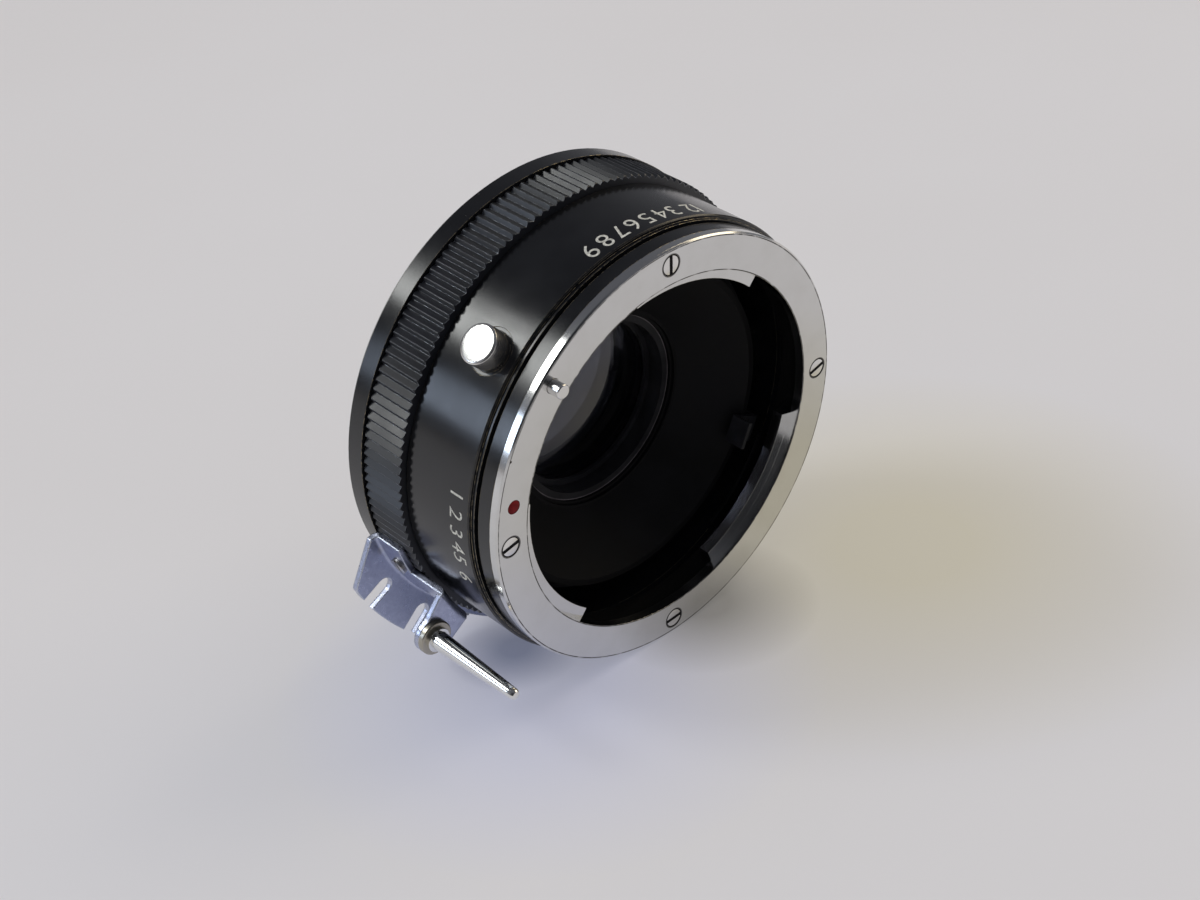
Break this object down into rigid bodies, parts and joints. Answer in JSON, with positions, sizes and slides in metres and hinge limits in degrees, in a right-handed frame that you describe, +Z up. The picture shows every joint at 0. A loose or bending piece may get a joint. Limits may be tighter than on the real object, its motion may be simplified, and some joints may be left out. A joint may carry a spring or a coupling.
{
  "type": "camera teleconverter",
  "caption": "Round lens teleconverter with a female bayonet in front, a male bayonet behind, a fluted coupling ring with a fork and a tapered pin, and a lens release button.",
  "frame": {"origin": "centre of the lens-side flange face, on the optical axis", "axes": "-Y out of the lens side along the optical axis, +Z up as the part lies on its side, +X to the right seen from the lens side"},
  "size_m": [0.0637, 0.0377, 0.0604],
  "materials": {
    "satin_chrome": "satin",
    "black_enamel": "semi-gloss",
    "matt_black": "matt",
    "zinc_plate": "bright zinc",
    "bright_chrome": "polished",
    "steel": "bright",
    "brass": "satin",
    "red_paint": "enamel fill",
    "coated_glass": "coated"
  },
  "bodies": {
    "body": {"front_flange": "satin_chrome", "flange_screws": "steel", "index_dot": "red_paint", "bayonet_springs": "steel", "front_collar": "black_enamel", "barrel": "black_enamel", "button_guide": "matt_black", "lock_spring": "steel", "friction_washer": "steel", "rear_shell": "black_enamel", "rear_bayonet": "satin_chrome", "rear_screws": "steel", "front_baffle": "matt_black", "ring_keeper": "matt_black", "aperture_spring": "steel", "spring_post": "steel", "lens_cell": "matt_black", "cell_screws": "steel", "front_retainer": "matt_black", "lens_1": "coated_glass", "lens_2": "coated_glass", "lens_3": "coated_glass", "lens_4": "coated_glass", "spacer_1": "matt_black", "spacer_2": "matt_black", "spacer_3": "matt_black", "rear_retainer": "matt_black", "rear_mask": "matt_black"},
    "button": {"release_button": "bright_chrome"},
    "lock": {"lock_pin": "bright_chrome", "lock_slide": "steel"},
    "coupling": {"coupling_ring": "black_enamel", "stop_screw": "steel", "coupling_bracket": "zinc_plate", "bracket_screws": "steel", "pin_collar": "bright_chrome", "coupling_pin": "bright_chrome"},
    "aperture": {"aperture_ring": "brass"}
  },
  "joints": [
    {"name": "button_press", "type": "slide", "parent": "body", "child": "button", "axis": [0.7096, 0, -0.7046], "range_m": [0, 0.0016], "stiffness_N_per_m": 600, "springref_m": -0.0005},
    {"name": "lock_retract", "type": "slide", "parent": "body", "child": "lock", "axis": [0, 1, 0], "range_m": [0, 0.0016], "deforming": ["lock_spring"]},
    {"name": "coupling_turn", "type": "hinge", "parent": "body", "child": "coupling", "pos_m": [0, 0, 0], "axis": [0, -1, 0], "range_deg": [-46, 4]},
    {"name": "aperture_turn", "type": "hinge", "parent": "body", "child": "aperture", "pos_m": [0, 0, 0], "axis": [0, -1, 0], "range_deg": [0, 32], "stiffness_Nm_per_rad": 0.01, "springref_deg": -17.19}
  ],
  "couplings": [
    {"joint": "lock_retract", "follows": "button_press", "ratio": 1}
  ]
}
